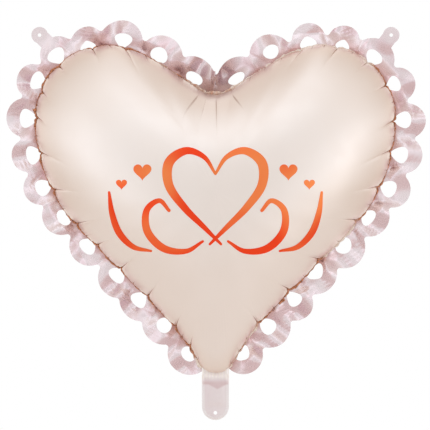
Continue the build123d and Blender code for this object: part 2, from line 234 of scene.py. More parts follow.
def puckers(along, inward):
    """How far the film dips at the puckers: as a share of the painted shade along one of the creases, and in
    millimetres.
    """
    share = np.zeros(np.broadcast(along, inward).shape)
    dip = np.zeros_like(share)
    for place, reach, depth, lean in PUCKERS:
        off = np.abs(wrap(along - place - lean * inward**1.5 / LEAN_DIVISOR))
        off /= np.sqrt(1 + LEAN_WIDENS * lean**2 * inward)
        reached = np.exp(-((inward / reach) ** 2))
        near = np.exp(-inward / NOTCH_REACH)
        if reach >= CLEFT_PUCKER:
            reached = CLEFT_STRENGTH * depth * reached * (1 - np.exp(-((inward / CLEFT_START) ** 2)))
            width = CREASE_WIDTH * CLEFT_WIDER
            strength = CLEFT_INWARD * reached
        else:
            width = CREASE_WIDTH * np.maximum(1 - CREASE_NARROWS * inward, CREASE_NARROWEST)
            strength = CREASE_AT_WELD * near + CREASE_INWARD * reached
        # the share of painted shade along the creases
        share = np.maximum(share, reached * np.exp(-((off / width) ** 1.6)))
        across = np.exp(-((off / (CREASE_WIDTH + CREASE_SPREAD * inward)) ** 1.1))
        dip += CREASE_DEPTH * depth * strength * across
        if LONG_PUCKER <= reach < CLEFT_PUCKER:
            dip += NOTCH_DEPTH * depth * near * np.exp(-off / NOTCH_WIDTH)
    return share, dip


def bulges(along, inward):
    """How far the film swells between one pucker and the next."""
    places = np.sort(np.mod([pucker[0] for pucker in PUCKERS if pucker[1] >= LONG_PUCKER], AROUND))
    ends = np.concatenate((places[-1:] - AROUND, places, places[:1] + AROUND))
    which = np.clip(np.searchsorted(ends, np.mod(along, AROUND)) - 1, 0, len(ends) - 2)
    gap = ends[which + 1] - ends[which]
    share = (np.mod(along, AROUND) - ends[which]) / gap
    height = BULGE * np.minimum(gap / BULGE_GAP, 1.2)
    return height * 4 * share * (1 - share) * np.exp(-inward / BULGE_REACH)


def waves(along, lengths, seed):
    """Smooth noise along the edge: a sum of waves of about these lengths, between about -1 and 1."""
    chance = np.random.default_rng(seed)
    total = np.zeros(np.shape(along))
    for length in lengths:
        turns = round(AROUND / length * chance.uniform(0.9, 1.1))
        total = total + np.sin(2 * pi * turns * along / AROUND + chance.uniform(0, 2 * pi))
    return total / len(lengths) ** 0.5


def teeth(along, inward):
    """The fine crinkle at the weld."""
    fine = waves(along, (4.3, 5.9, 8.3, 11.0), TOOTH_SEED)
    return TOOTH_DEPTH * fine * np.exp(-inward / TOOTH_REACH)


def edge_shift(along):
    """How far the seam itself lies outside the smooth heart."""
    zero = np.zeros(np.shape(along))
    return bulges(along, zero) - puckers(along, zero)[1] + teeth(along, zero)


def seam_look(along):
    """The seam's share of coppery brown painted shade and its width at lengths along the edge."""
    places, seam_shade, width = np.transpose(SEAM_LOOK)
    return np.interp(wrap(along), places, seam_shade), np.interp(wrap(along), places, width)


# ---------------------------------------------------------------- meshes


def make_object(name, points, faces, smooth=True):
    """A mesh object from points in millimetres."""
    mesh = bpy.data.meshes.new(name)
    mesh.from_pydata((np.asarray(points, float) * MM).tolist(), [], [list(map(int, face)) for face in faces])
    mesh.validate()
    if smooth:
        mesh.shade_smooth()
    made = bpy.data.objects.new(name, mesh)
    bpy.context.scene.collection.objects.link(made)
    return made


def paint(made, name, values):
    """A float per vertex, which the material reads by name."""
    layer = made.data.attributes.new(name, "FLOAT", "POINT")
    layer.data.foreach_set("value", np.asarray(values, np.float32).ravel())


def distances(points, others):
    """The distance from each flat point to each of the others."""
    return np.hypot(points[:, None, 0] - others[None, :, 0], points[:, None, 1] - others[None, :, 1])


def inside(points, loops):
    """Which points lie inside an odd number of the loops."""
    odd = np.zeros(len(points), bool)
    for loop in loops:
        for (x0, z0), (x1, z1) in zip(loop, np.roll(loop, -1, 0)):
            if z0 == z1:
                continue
            spans = (points[:, 1] < z0) != (points[:, 1] < z1)
            odd ^= spans & (points[:, 0] < x0 + (points[:, 1] - z0) / (z1 - z0) * (x1 - x0))
    return odd


BLOCK = 2000  # points measured against an outline at one time
RIM_CLEAR = 0.6  # share of the spacing that the grid keeps from an outline


def fill(loops, spacing):
    """Points and triangles of a flat shape inside closed loops, with even triangles of about that spacing."""
    loops = [np.asarray(loop, float) for loop in loops]
    rim = np.vstack(loops)
    low, high = rim.min(0), rim.max(0)
    rise = spacing * 3**0.5 / 2
    z = np.arange(low[1], high[1], rise)
    x = np.arange(low[0], high[0], spacing) + (np.arange(len(z)) % 2)[:, None] * spacing / 2
    grid = np.column_stack((x.ravel(), np.repeat(z, x.shape[1])))
    grid = grid[inside(grid, loops)]
    clear = np.ones(len(grid), bool)
    for start in range(0, len(grid), BLOCK):
        clear[start:start + BLOCK] = distances(grid[start:start + BLOCK], rim).min(1) > spacing * RIM_CLEAR
    points = np.vstack((rim, grid[clear]))
    links, first = [], 0
    for loop in loops:
        links += [(first + i, first + (i + 1) % len(loop)) for i in range(len(loop))]
        first += len(loop)
    made = delaunay_2d_cdt([Vector(point) for point in points], links, [], 0, 1e-4)
    points, triangles = np.array([tuple(point) for point in made[0]]), np.array(made[2])
    keep = inside(points[triangles].mean(1), loops)
    return points, triangles[keep]


# ---------------------------------------------------------------- inflated sheets

CHAMBER_CENTRE = np.array((0.0, 42.0))
COLUMNS = 1536
RINGS = 76
RING_POWER = 1.3  # above 1, the rings lie closer together at the seam
SOLVE_COLUMNS = 256
SOLVE_RINGS = 48
SOLVE_STEPS = 900
FULLNESS = 0.5  # the power of the membrane's height that gives the sheets their round edge
COLUMNS_PER_PUCKER = 2.5  # how much closer the columns are at a pucker a millimetre deep
PUCKER_SPAN = 2.2
UNEVEN = 0.5  # how far the sheets wander from the smooth form
UNEVEN_LENGTHS = (61.0, 83.0, 127.0)
UNEVEN_FADE = 60.0  # dying away inward over this, and towards the seam over the next
UNEVEN_START = 20.0


def chamber_points(along, share):
    """Flat points on the way from the edge, share 0, to the chamber's centre, share 1."""
    return CHAMBER_CENTRE + (edge(along) - CHAMBER_CENTRE) * (1 - np.asarray(share))[..., None]


def ring_turns():
    """The angle on the way from the seam, 0, to the middle, a right angle, at each ring."""
    return pi / 2 * (np.arange(RINGS) / RINGS) ** RING_POWER


def membrane():
    """The height of a film under even pressure on a coarse ring grid, by conjugate gradients."""
    along = np.arange(SOLVE_COLUMNS) * AROUND / SOLVE_COLUMNS
    share = 1 - np.cos(np.linspace(0, pi / 2, SOLVE_RINGS + 1)[:-1])
    flat = chamber_points(along[:, None] + 0 * share, share[None, :] + 0 * along[:, None]).reshape(-1, 2)
    flat = np.vstack((flat, CHAMBER_CENTRE))
    index = np.arange(SOLVE_COLUMNS * SOLVE_RINGS).reshape(SOLVE_COLUMNS, SOLVE_RINGS)
    beside = np.roll(index, -1, 0)
    a, b, c, d = index[:, :-1], beside[:, :-1], beside[:, 1:], index[:, 1:]
    triangles = np.vstack([np.stack(corners, -1).reshape(-1, 3) for corners in ((a, b, c), (a, c, d))])
    last = np.full(SOLVE_COLUMNS, len(flat) - 1)
    triangles = np.vstack((triangles, np.column_stack((index[:, -1], beside[:, -1], last))))
    ends, weights, load = [], [], np.zeros(len(flat))
    corners = flat[triangles]
    for i in range(3):
        to_j, to_k = corners[:, (i + 1) % 3] - corners[:, i], corners[:, (i + 2) % 3] - corners[:, i]
        area = np.abs(to_j[:, 0] * to_k[:, 1] - to_j[:, 1] * to_k[:, 0])
        ends.append(triangles[:, [(i + 1) % 3, (i + 2) % 3]])
        weights.append((to_j * to_k).sum(1) / np.maximum(area, 1e-9) / 2)
        np.add.at(load, triangles[:, i], area / 6)
    ends, weights = np.vstack(ends), np.concatenate(weights)
    free = np.ones(len(flat))
    free[index[:, 0]] = 0

    def stiffness(values):
        flow = weights * (values[ends[:, 0]] - values[ends[:, 1]])
        total = np.bincount(ends[:, 0], flow, len(flat)) - np.bincount(ends[:, 1], flow, len(flat))
        return total * free

    weight_sum = np.bincount(ends[:, 0], weights, len(flat)) + np.bincount(ends[:, 1], weights, len(flat))
    height, residual = np.zeros(len(flat)), load * free
    scaled = residual / np.maximum(weight_sum, 1e-9)
    way, energy = scaled.copy(), residual @ scaled
    for _ in range(SOLVE_STEPS):
        pushed = stiffness(way)
        step = energy / (way @ pushed)
        height += step * way
        residual -= step * pushed
        scaled = residual / np.maximum(weight_sum, 1e-9)
        new_energy = residual @ scaled
        if new_energy < 1e-12 * (load @ load):
            break
        way = scaled + new_energy / energy * way
        energy = new_energy
    table = height[index] / height.max()
    top = height[-1] / height.max()
    return along, share, table, top


def swell(along, share):
    """The sheets' height at the seam's lengths and shares of the way inward."""
    places, shares, table, top = MEMBRANE
    per_share = np.empty((len(places) + 1, len(shares) + 1))
    per_share[:-1, 1:-1] = table[:, 1:] / shares[1:]
    per_share[:-1, 0] = per_share[:-1, 1] + (per_share[:-1, 1] - per_share[:-1, 2]) * 0.3
    per_share[:-1, -1] = top
    per_share[-1] = per_share[0]
    shares = np.append(shares, 1.0)
    column = np.mod(along, AROUND) / AROUND * len(places)
    low = np.floor(column).astype(int) % len(places)
    mix = (column - np.floor(column))[:, None]
    rows = per_share[low] * (1 - mix) + per_share[low + 1] * mix
    read = np.stack([np.interp(share, shares, row) for row in rows])
    return FILM_DEPTH * np.power(np.maximum(read * share, 0), FULLNESS)


MEMBRANE = membrane()


def spread_columns():
    """Lengths along the edge, closer together at the puckers."""
    fine = np.linspace(0, AROUND, 16001)
    density = np.ones(len(fine))
    for place, _, depth, _ in PUCKERS:
        density += COLUMNS_PER_PUCKER * depth * np.exp(-((wrap(fine - place) / PUCKER_SPAN) ** 2))
    total = np.concatenate(([0], np.cumsum((density[1:] + density[:-1]) / 2)))
    return np.interp(np.arange(COLUMNS) / COLUMNS * total[-1], total, fine)


def normals_of(grid):
    """Unit normals of a ring grid of points, away from the chamber."""
    around = np.roll(grid, -1, 0) - np.roll(grid, 1, 0)
    inward = np.gradient(grid, axis=1)
    normal = np.cross(around, inward)
    normal /= np.maximum(np.linalg.norm(normal, axis=-1, keepdims=True), 1e-9)
    return normal * np.sign((normal * (grid - grid.mean((0, 1)))).sum(-1, keepdims=True).mean())


def chamber_grid(side, seed):
    """One inflated sheet's points as columns by rings, and what its material reads at each.

    side is -1 in front and 1 behind.
    """
    along = spread_columns()
    share = 1 - np.cos(ring_turns())
    flat = chamber_points(along[:, None] + 0 * share, share[None, :] + 0 * along[:, None])
    height = swell(along, share)
    grid = np.stack((flat[..., 0], side * height, flat[..., 1]), -1)
    normal = normals_of(grid)
    outward = edge(along, 1.0) - edge(along)
    depth = ((edge(along) - CHAMBER_CENTRE) * outward).sum(-1)
    inward = share[None, :] * depth[:, None]
    length = along[:, None] + 0 * inward
    # the creases' share of painted shade, and how far the film dips
    crease_shade, dip = puckers(length, inward)
    shift = bulges(length, inward) - dip + teeth(length, inward)
    away = np.exp(-inward / UNEVEN_FADE) * (1 - np.exp(-inward / UNEVEN_START))
    shift += UNEVEN * waves(length, UNEVEN_LENGTHS, seed) * away
    moved = grid + normal * shift[..., None]
    rim = edge(along, edge_shift(along))
    moved[:, 0] = np.column_stack((rim[:, 0], 0 * along, rim[:, 1]))
    # the seam's share of coppery brown painted shade
    seam_shade = seam_look(along)[0][:, None] + 0 * share
    steps = np.linalg.norm(np.diff(moved, axis=1), axis=-1)
    from_seam = np.concatenate((0 * steps[:, :1], np.cumsum(steps, 1)), 1)
    return moved, {"from_seam": from_seam * MM, "crease_shade": crease_shade, "seam_shade": seam_shade}


def sheet_faces(side):
    """Faces between rings, on half as many columns each time a ring is half as long, and a fan inside."""
    size = np.cos(ring_turns())
    strides = [2 ** int(np.clip(np.floor(-np.log2(max(value, 1e-3) / 0.95)), 0, 4)) for value in size]
    faces = []
    for ring in range(RINGS - 1):
        stride, wider = strides[ring], strides[ring + 1]
        for column in range(0, COLUMNS, wider):
            far = (column + wider) % COLUMNS
            inner = [far * RINGS + ring + 1, column * RINGS + ring + 1]
            outer = [((column + i) % COLUMNS) * RINGS + ring for i in range(0, wider + 1, stride)]
            faces.append(outer + inner)
    middle = COLUMNS * RINGS
    stride = strides[-1]
    for column in range(0, COLUMNS, stride):
        far = (column + stride) % COLUMNS
        faces.append([column * RINGS + RINGS - 1, far * RINGS + RINGS - 1, middle])
    return faces if side < 0 else [face[::-1] for face in faces]


def inflated_sheet(name, side, seed):
    """The front or back sheet, with a point in the middle to close it."""
    grid, looks = chamber_grid(side, seed)
    middle = grid[:, -1].mean(0)
    points = np.vstack((grid.reshape(-1, 3), middle))
    faces = sheet_faces(side)
    used = np.unique(np.concatenate([np.array(face) for face in faces]))
    new = np.full(len(points), -1)
    new[used] = np.arange(len(used))
    made = make_object(name, points[used], [[new[i] for i in face] for face in faces])
    for look, values in looks.items():
        paint(made, look, np.append(values.ravel(), values[0, -1])[used])
    return made


# ---------------------------------------------------------------- seam

SEAM_STEP = 0.9
SEAM_WIDER = 1.3
SEAM_ACROSS = (-0.6, 0.35, 0.7, 1.0)  # millimetres inside the film's rim, then shares of the width outside
SEAM_NARROWEST = 0.7
NOTCH_NARROWS = 0.6
FULL_NOTCH = 4.0
SEAM_FRAYS = 0.25  # share of its width that comes and goes in waves of these lengths
FRAY_LENGTHS = (13.0, 29.0, 41.0)
CRINKLE_LENGTHS = (2.7, 3.9, 6.3)
PATCHY = 0.07  # how far its share of coppery brown painted shade comes and goes
PATCH_LENGTHS = (7.0, 13.0, 29.0)


def seam():
    """The welded edge: a thin crinkled band just outside the inflated sheets."""
    count = int(AROUND / SEAM_STEP)
    along = np.arange(count) * AROUND / count
    seam_shade, width = seam_look(along)
    width *= SEAM_WIDER * (1 + SEAM_FRAYS * waves(along, FRAY_LENGTHS, 5))
    film = edge_shift(along)
    notch = puckers(along, np.zeros(count))[1]
    band = np.maximum(width - film - notch, SEAM_NARROWEST)
    band = band * (1 - NOTCH_NARROWS * np.clip(notch / FULL_NOTCH, 0, 1)) + 0.5 * notch
    rows = []
    for side in (-1, 1):
        for place in SEAM_ACROSS[::side]:
            flat = edge(along, film + max(place, 0) * band + min(place, 0))
            lift = 0.25 + 0.3 * (1 - abs(place)) + 0.2 * waves(along, CRINKLE_LENGTHS, 60 + len(rows))
            rows.append(np.column_stack((flat[:, 0], side * np.maximum(lift, 0.12), flat[:, 1])))
    points = np.vstack(rows)
    index = np.arange(len(points)).reshape(len(rows), count)
    corners = [np.roll(index, (-down, -right), (0, 1)) for down, right in ((0, 0), (0, 1), (1, 1), (1, 0))]
    made = make_object("seam_weld", points, np.stack(corners, -1).reshape(-1, 4))
    # coppery brown painted shade, coming and going in patches
    patchy_shade = np.clip(seam_shade + PATCHY * waves(along, PATCH_LENGTHS, 8), 0, 1)
    paint(made, "seam_shade", np.tile(patchy_shade, len(rows)))
    return made


# ---------------------------------------------------------------- lace frill

# Scallops from the cleft to the tail. The arch: length along the edge, how far out its top is, and radius.
# The hole: length along the edge, how far out it starts and ends, half its width along the edge, and how far
# its narrow end is narrowed (at the seam if more than 0, at the outside if less).
SCALLOPS_RIGHT = (
    (44, 40, 34, 40, 2, 18, 13, 0.15), (100, 44, 31, 103, 7, 27, 12, 0.15),
    (156, 36, 25, 154, -1, 17, 11, -0.4), (202, 36, 23, 202, -1, 15, 9, -0.5),
    (248, 40, 32, 247, 0, 22, 11, 0.3), (294, 42, 25, 291, -1, 21, 9.5, 0.45),
    (341, 46, 26, 340, -1, 25, 10.5, 0.4), (387, 47, 27, 388, 1, 26, 10.5, 0.4),
    (436, 47, 26, 437, 2, 26, 11, 0.3), (484, 40, 29, 486, 0, 19, 11.5, 0.3),
    (540, 44, 31, 539, 1, 23, 12.5, -0.15), (596, 41, 31, 595, 0, 20, 13, -0.4),
    (648, 46, 25, 645, -1, 25, 9.5, 0.6), (700, 47, 31, 701, 0, 26, 11.5, 0.3),
    (757, 38, 29, 756, -1, 18, 12, -0.3),
)
SCALLOPS_LEFT = (
    (42, 41, 32, 40, 1, 19, 13, 0.1), (97, 43, 31, 101, 2, 24, 13, -0.15),
    (156, 40, 31, 154, -1, 21, 10.5, 0.5), (202, 33, 25, 203, -1, 13, 10, -0.6),
    (243, 40, 27, 246, -1, 24, 10.5, 0.55), (290, 42, 25, 287, -1, 22, 11, 0.45),
    (337, 45, 28, 338, -1, 26, 11.5, 0.45), (388, 43, 24, 389, -1, 22, 12, 0.4),
    (435, 41, 25, 436, 0, 24, 11, 0.3), (483, 38, 28, 487, 0, 18, 12, 0),
    (541, 38, 30, 540, -1, 21, 12.5, 0.35), (604, 41, 30, 600, -1, 20, 12.5, 0.3),
    (650, 42, 31, 648, -1, 23, 11.5, 0.5), (698, 41, 32, 701, 0, 22, 11.5, 0.1),
    (757, 38, 32, 757, -1, 18, 12, 0),
)
CORNER_SCALLOP = 4  # counted from 0: the scallop that carries the hanging tab
VALLEY_FILLET = 4.5
LACE_STEP = 1.6
LACE_GRID = 1.8
LACE_ROOT = -3.0  # where the lace starts, inside the weld
LACE_THICKNESS = 0.22
LACE_FREE = 2.0  # how far outside the seam the lace starts to stand off its plane
RUFFLE_GROWS = 22.0  # and over how much further it gets its full height
RUFFLES = ((4.2, (64.0, 43.0)), (1.6, (31.0,)))  # height, and wave lengths along the edge
CREASES_START = 1.5  # how far out the gathers, and the ridges between scallops, start
GATHER = 0.7  # fine waves close to the seam
GATHER_LENGTHS = (13.1, 19.3)
GATHER_REACH = 9.0
FOLDS_PER_SCALLOP = 3
FOLD_OUT = 14.0  # a scallop's folds lie about a point this far out
FOLD_REACH = 30.0
FOLD_OFF = 24.0  # at most this far from the point
FOLD_SLOPES = (0.15, 0.4)
FOLD_ROUND = 0.8
RIDGE_OUT = 9.0  # one ridge between each two scallops: where it is highest, its length, width and heights
RIDGE_LENGTH = 17.0
RIDGE_WIDTH = 4.5
RIDGE_HEIGHTS = (3.0, 5.5)
RIDGE_OFF = 4.0  # at most this far from the middle between them, and leaning by at most this slope
RIDGE_LEAN = 0.5
TAB_FLAT = 8.0  # the lace lies flat this close to a tab's hole, and has its full folds TAB_CALMS further on
TAB_CALMS = 24.0
MEETING_CALMS = 8.0  # and this far from where its two halves meet, in one plane
CLEFT_SHADE_LENGTH = 55.0  # how far along the edge and outward the lace carries painted shade at the cleft
CLEFT_SHADE_REACH = 26.0
TAB_RADIUS = 12.0
TAB_NECK = 10.2  # half the width of the scallop's arc that the neck replaces
TAB_CAP = 1.05 * pi / 2 + 0.35  # how far round each way the tab's head goes, in radians
TAB_HOLE_RADIUS = 2.6
TAB_HEAD = np.array((box("hang_tab_right")[1].x - TAB_RADIUS, box("hang_tab_right")[1].z - TAB_RADIUS))


def towards(start, end, distance):
    """The point at a distance from start on the way to end."""
    way = np.asarray(end) - np.asarray(start)
    return np.asarray(start) + way * distance / np.hypot(*way)


def arc_between(centre, start, end, turn):
    """Points on the arc about centre from start to end, turning clockwise for turn -1."""
    first, last = (degrees(atan2(z - centre[1], x - centre[0])) for x, z in (start, end))
    sweep = turn * ((turn * (last - first)) % 360)
    radius = hypot(start[0] - centre[0], start[1] - centre[1])
    return arc_points(centre, radius, first, first + sweep, LACE_STEP)


def valley_centre(first, first_radius, second, second_radius):
    """Centre of the fillet outside the place where two scallops meet, on the left of the way between them."""
    way = second - first
    apart = np.hypot(*way)
    a, b = first_radius + VALLEY_FILLET, second_radius + VALLEY_FILLET
    along = (a**2 - b**2 + apart**2) / (2 * apart)
    rise = (a**2 - along**2) ** 0.5
    return first + way / apart * along + np.array((-way[1], way[0])) / apart * rise


def hole_loop(scallop, sign):
    """A punched hole, drawn along and away from the edge."""
    place, near, far, half, narrow = scallop[3:]
    turn = np.linspace(0, 2 * pi, 44)[:-1]
    outward = (near + far) / 2 + (far - near) / 2 * np.cos(turn)
    beside = half * np.sin(turn) * (1 + narrow * np.cos(turn))
    return edge(sign * (place + beside), outward)


def lace_outline(scallops, sign):
    """The outside of one half of the frill, from the cleft to the tail, drawn on the right-hand side."""
    centres = [edge(float(place), float(top - radius)) for place, top, radius, *_ in scallops]
    radii = [scallop[2] for scallop in scallops]
    first = centres[0]
    apart = radii[0] + VALLEY_FILLET
    valley = np.array((0.0, first[1] + (apart**2 - first[0] ** 2) ** 0.5))
    points = [arc_between(valley, valley - (0, VALLEY_FILLET), towards(valley, first, VALLEY_FILLET), 1)]
    start = towards(valley, first, VALLEY_FILLET)
    for i, centre in enumerate(centres):
        if i + 1 < len(centres):
            valley = valley_centre(centre, radii[i], centres[i + 1], radii[i + 1])
            end = towards(centre, valley, radii[i])
        else:
            side = TAIL_HIGH.x
            end = np.array((side, centre[1] - (radii[i] ** 2 - (side - centre[0]) ** 2) ** 0.5))
        run = arc_between(centre, start, end, -1)
        if i == CORNER_SCALLOP:
            run = with_tab(run, centre)
        points.append(run)
        if i + 1 < len(centres):
            start = towards(valley, centres[i + 1], VALLEY_FILLET)
            points.append(arc_between(valley, end, start, 1))
    points.append([end])
    outline = np.vstack(points)
    return outline * (sign, 1)


def with_tab(run, centre):
    """The corner scallop's arc with the hanging tab's outline let into it."""
    way = (TAB_HEAD - centre) / np.hypot(*(TAB_HEAD - centre))
    left = np.array((-way[1], way[0]))
    across = (run - centre) @ left
    beyond = (run - centre) @ way
    before = run[(across > TAB_NECK) | ((beyond < 0) & (across > 0))]
    after = run[(across < -TAB_NECK) | ((beyond < 0) & (across <= 0))]
    turn = np.linspace(TAB_CAP, -TAB_CAP, 26)
    cap = TAB_HEAD + TAB_RADIUS * (np.cos(turn)[:, None] * way + np.sin(turn)[:, None] * left)
    neck = [line_points(*ends, LACE_STEP)[1:] for ends in ((before[-1], cap[0]), (cap[-1], after[0]))]
    return np.vstack((before, neck[0], cap, neck[1], after))


def even_loop(loop, step):
    """A closed loop resampled to even steps."""
    ring = np.vstack((loop, loop[:1]))
    gaps = np.hypot(*np.diff(ring, axis=0).T)
    keep = np.concatenate(([True], gaps > 1e-6))
    ring, along = ring[keep], np.concatenate(([0], np.cumsum(gaps)))[keep]
    count = int(along[-1] / step)
    at = np.arange(count) * along[-1] / count
    return np.column_stack([np.interp(at, along, ring[:, i]) for i in (0, 1)])


def nearest_edge(points):
    """For flat points: the length along the edge of the nearest place on it, and the distance from it."""
    dense = RING[::3]
    lengths = ALONG[::3]
    which, gap = np.empty(len(points), int), np.empty(len(points))
    for start in range(0, len(points), BLOCK):
        far = distances(points[start:start + BLOCK], dense)
        which[start:start + BLOCK] = far.argmin(1)
        gap[start:start + BLOCK] = far.min(1)
    return lengths[which], gap


def smooth_step(value):
    """0 up to 0 and 1 from 1 on, with a soft rise between."""
    value = np.clip(value, 0, 1)
    return value * value * (3 - 2 * value)


def ruffle(points, scallops, sign, seed):
    """How far the lace lies in front of or behind the seam plane."""
    along, out = nearest_edge(points)
    chance = np.random.default_rng(seed)
    places = np.array([scallop[0] for scallop in scallops]) * sign
    grow = smooth_step((out - LACE_FREE) / RUFFLE_GROWS)
    lift = sum(height * waves(along, lengths, seed + i) for i, (height, lengths) in enumerate(RUFFLES)) * grow
    close = np.exp(-np.maximum(out - LACE_FREE, 0) / GATHER_REACH) * smooth_step((out - CREASES_START) / 3)
    lift += GATHER * waves(along, GATHER_LENGTHS, seed + 2) * close
    for place in places:
        centre = edge(float(place), FOLD_OUT)
        near = np.exp(-(((points - centre) ** 2).sum(1)) / FOLD_REACH**2)
        for _ in range(FOLDS_PER_SCALLOP):
            angle, off = chance.uniform(0, pi), chance.uniform(-FOLD_OFF, FOLD_OFF)
            slope = chance.choice((-1, 1)) * chance.uniform(*FOLD_SLOPES)
            across = (points - centre) @ np.array((cos(angle), sin(angle))) - off
            lift += slope * (np.sqrt(across**2 + FOLD_ROUND**2) - FOLD_ROUND) * near * grow
    for before, after in zip(places[:-1], places[1:]):
        middle = (before + after) / 2 + chance.uniform(-RIDGE_OFF, RIDGE_OFF)
        lean = chance.uniform(-RIDGE_LEAN, RIDGE_LEAN)
        off = wrap(along - middle - lean * out)
        ridge = np.exp(-np.sqrt(off**2 + 1) / RIDGE_WIDTH) * smooth_step((out - CREASES_START) / 6)
        height = chance.choice((-1, 1)) * chance.uniform(*RIDGE_HEIGHTS)
        lift += height * ridge * np.exp(-(((out - RIDGE_OUT) / RIDGE_LENGTH) ** 2))
    return lift


def circle(centre, radius, count=28):
    """A closed loop of points round a centre."""
    turn = np.linspace(0, 2 * pi, count + 1)[:-1]
    return centre + radius * np.column_stack((np.cos(turn), np.sin(turn)))


def lace(name, scallops, sign, seed):
    """One half of the frill with its hanging tab, as one ruffled sheet."""
    outline = lace_outline(scallops, sign)
    foot = nearest_edge(outline[-1:])[0][0]
    inner = edge(np.linspace(wrap(foot), 0, int(HALF / LACE_STEP)), LACE_ROOT)
    inner[-1, 0] = 0
    outer = even_loop(np.vstack((outline, inner)), LACE_STEP)
    head = TAB_HEAD * (sign, 1)
    holes = [hole_loop(scallop, sign) for scallop in scallops] + [circle(head, TAB_HOLE_RADIUS)]
    flat, triangles = fill([outer] + holes, LACE_GRID)
    lift = ruffle(flat, scallops, sign, seed)
    lift *= smooth_step((np.hypot(*(flat - head).T) - TAB_FLAT) / TAB_CALMS)
    lift *= smooth_step(np.abs(flat[:, 0]) / MEETING_CALMS)
    points = np.column_stack((flat[:, 0], lift, flat[:, 1]))
    made = make_object(name, points, triangles)
    along, out = nearest_edge(flat)
    # deeper pink painted shade where the lace stands steep or faces down
    paint(made, "fold_shade", folds(points, triangles))
    paint(made, "out", out * MM)
    # painted shade at the cleft, fading along the edge and outward
    cleft = np.exp(-((wrap(along) / CLEFT_SHADE_LENGTH) ** 2)) * np.exp(-out / CLEFT_SHADE_REACH)
    paint(made, "cleft", cleft)
    thicken(made, LACE_THICKNESS)
    return made


def folds(points, triangles):
    """How steeply the lace stands at each point, 0 flat and 1 at 30 degrees, and more where it faces down:
    the share of deeper pink painted shade.
    """
    corners = points[triangles]
    normal = np.cross(corners[:, 1] - corners[:, 0], corners[:, 2] - corners[:, 0])
    normal *= -np.sign(normal[:, 1:2])
    total = np.zeros_like(points)
    for i in range(3):
        np.add.at(total, triangles[:, i], normal)
    total /= np.linalg.norm(total, axis=1, keepdims=True)
    return np.clip(1.4 * np.hypot(total[:, 0], total[:, 2]) - 0.9 * total[:, 2], 0, 1)


def thicken(made, thickness):
    """Give a sheet this thickness, with sharp edges where it was cut."""
    uses = Counter(key for face in made.data.polygons for key in face.edge_keys)
    for line in made.data.edges:
        line.use_edge_sharp = uses[line.key] == 1
    solid = made.modifiers.new("film", "SOLIDIFY")
    solid.thickness = thickness * MM
    solid.offset = 0


# ---------------------------------------------------------------- tail

TAIL_WELD_IN = 3.2  # from the tail's side to the inside of its weld
TAIL_TOP_Z = -213.4  # clear of the valve's flaps
TAIL_GATHER_Z = -234.0  # the sheets are gathered above this height
TAIL_FOLD_Z = -235.0  # and hang over themselves down to this one
TAIL_OVERHANG_Z = -222.0  # where they start to stand out for it
TAIL_OVERHANG = 2.2
TAIL_SAG = 7.0
TAIL_PUFF = 0.35  # how far each sheet stands out everywhere below the gathers, and more in the middle
TAIL_PUFF_MIDDLE = 0.9
TAIL_GATHERED = 0.9  # and in the gathers, give or take the pleats
TAIL_PLEATS = 0.6
TAIL_BOW = 20.0  # the tail bows forward by 1 over this far below the valve
TAIL_APART = 0.16  # from the plane between the sheets to each at the weld
TAIL_WELD_RIDGE = 0.25
TAIL_THICKNESS = 0.16
TAIL_STEP = 1.0
TAIL_GRID = 1.5
TAIL_HOLE_RADIUS = 2.7
TAIL_HOLE = next(mount["pos_m"] for mount in frame["record"]["mounts"] if mount["name"] == "tail_hole")
VALVE_END_Z = box("valve_mouth")[0].z


def tail_sheet(name, side):
    """One sheet of the filling tail, from the seam down to its rounded end."""
    radius = TAIL_HIGH.x
    end = TAIL_LOW.z + radius
    turn = np.linspace(0, -pi, 40)
    bottom = np.column_stack((radius * np.cos(turn), end + radius * np.sin(turn)))
    loop = even_loop(np.vstack(([(-radius, TAIL_TOP_Z), (radius, TAIL_TOP_Z)], bottom)), TAIL_STEP)
    hole = np.array((TAIL_HOLE[0], TAIL_HOLE[2])) / MM
    flat, triangles = fill([loop, circle(hole, TAIL_HOLE_RADIUS)], TAIL_GRID)
    x, z = flat.T
    below = np.maximum(end - z, 0)
    from_side = radius - np.hypot(np.abs(x), below)
    body = smooth_step(from_side / TAIL_WELD_IN)
    ridge = np.exp(-((from_side - TAIL_WELD_IN) / 0.5) ** 2)
    middle = smooth_step((from_side - TAIL_WELD_IN) / 9) * smooth_step((z - hole[1] - 6) / 12)
    puff = (TAIL_PUFF + TAIL_PUFF_MIDDLE * middle) * body
    gathered = smooth_step((z - TAIL_GATHER_Z) / 7)
    pleats = 0.5 * np.sin(x * 1.35 + 0.4 * np.sin(x * 0.7)) + 0.3 * np.sin(x * 2.9 + 1)
    sag = TAIL_SAG * np.maximum(1 - np.abs(x - 3) / 13, 0) + 4
    overhang = smooth_step((TAIL_OVERHANG_Z - z) / 8) * (1 - np.clip((TAIL_FOLD_Z - z) / sag, 0, 1))
    bow = -smooth_step((VALVE_END_Z - z) / TAIL_BOW)
    full = gathered * (TAIL_GATHERED + TAIL_PLEATS * pleats) + TAIL_OVERHANG * overhang
    full = puff * (1 - gathered) + body * full
    points = np.column_stack((x, side * (TAIL_APART + full + TAIL_WELD_RIDGE * ridge) + bow, z))
    made = make_object(name, points, triangles if side < 0 else triangles[:, ::-1])
    paint(made, "weld", np.maximum(1 - body, ridge))
    # painted shade under the overhang
    under = smooth_step((TAIL_FOLD_Z + 6 - z) / 9) * smooth_step((z - TAIL_FOLD_Z + sag + 1.2) / 2.4)
    paint(made, "under", under * (0.3 + 0.7 * body))
    # cream at the gathers, with painted highlights where the pleats stand out
    paint(made, "gathered", gathered * np.clip(0.6 + 0.7 * pleats, 0, 1))
    thicken(made, TAIL_THICKNESS)
    return made


# ---------------------------------------------------------------- print

